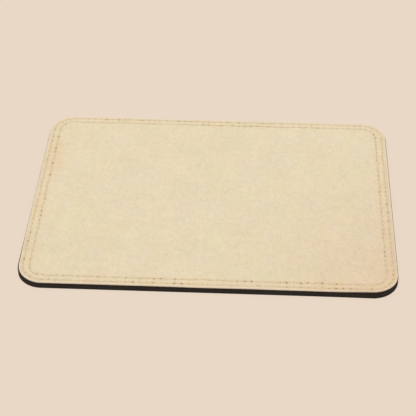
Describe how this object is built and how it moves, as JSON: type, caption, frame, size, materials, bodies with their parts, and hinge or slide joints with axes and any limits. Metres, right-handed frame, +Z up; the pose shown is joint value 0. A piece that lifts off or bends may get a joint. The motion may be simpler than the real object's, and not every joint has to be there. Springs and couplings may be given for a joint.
{
  "type": "desk mat",
  "caption": "Flat rectangular desk mat with rounded corners: pale nubuck leather top with a double row of edge stitching on a black foam rubber base.",
  "frame": {"origin": "middle of the underside, on the surface that the mat lies on", "axes": "+X along the long side to the right, +Y from the front edge to the back edge, +Z up out of the leather"},
  "size_m": [0.24, 0.178, 0.0049],
  "materials": {
    "cover_leather": "matte nubuck",
    "needle_thread": "matte twisted polyester",
    "backing_board": "matte bonded fibre",
    "bobbin_thread": "matte twisted polyester",
    "adhesive": "satin film",
    "foam_rubber": "matte fine cell foam",
    "grip_rubber": "matte ribbed rubber"
  },
  "bodies": {
    "root": {"top_cover": "cover_leather", "outer_seam_needle_thread": "needle_thread", "inner_seam_needle_thread": "needle_thread", "backing_sheet": "backing_board", "outer_seam_bobbin_thread": "bobbin_thread", "inner_seam_bobbin_thread": "bobbin_thread", "adhesive_film": "adhesive", "foam_base": "foam_rubber", "grip_sheet": "grip_rubber"}
  },
  "joints": []
}
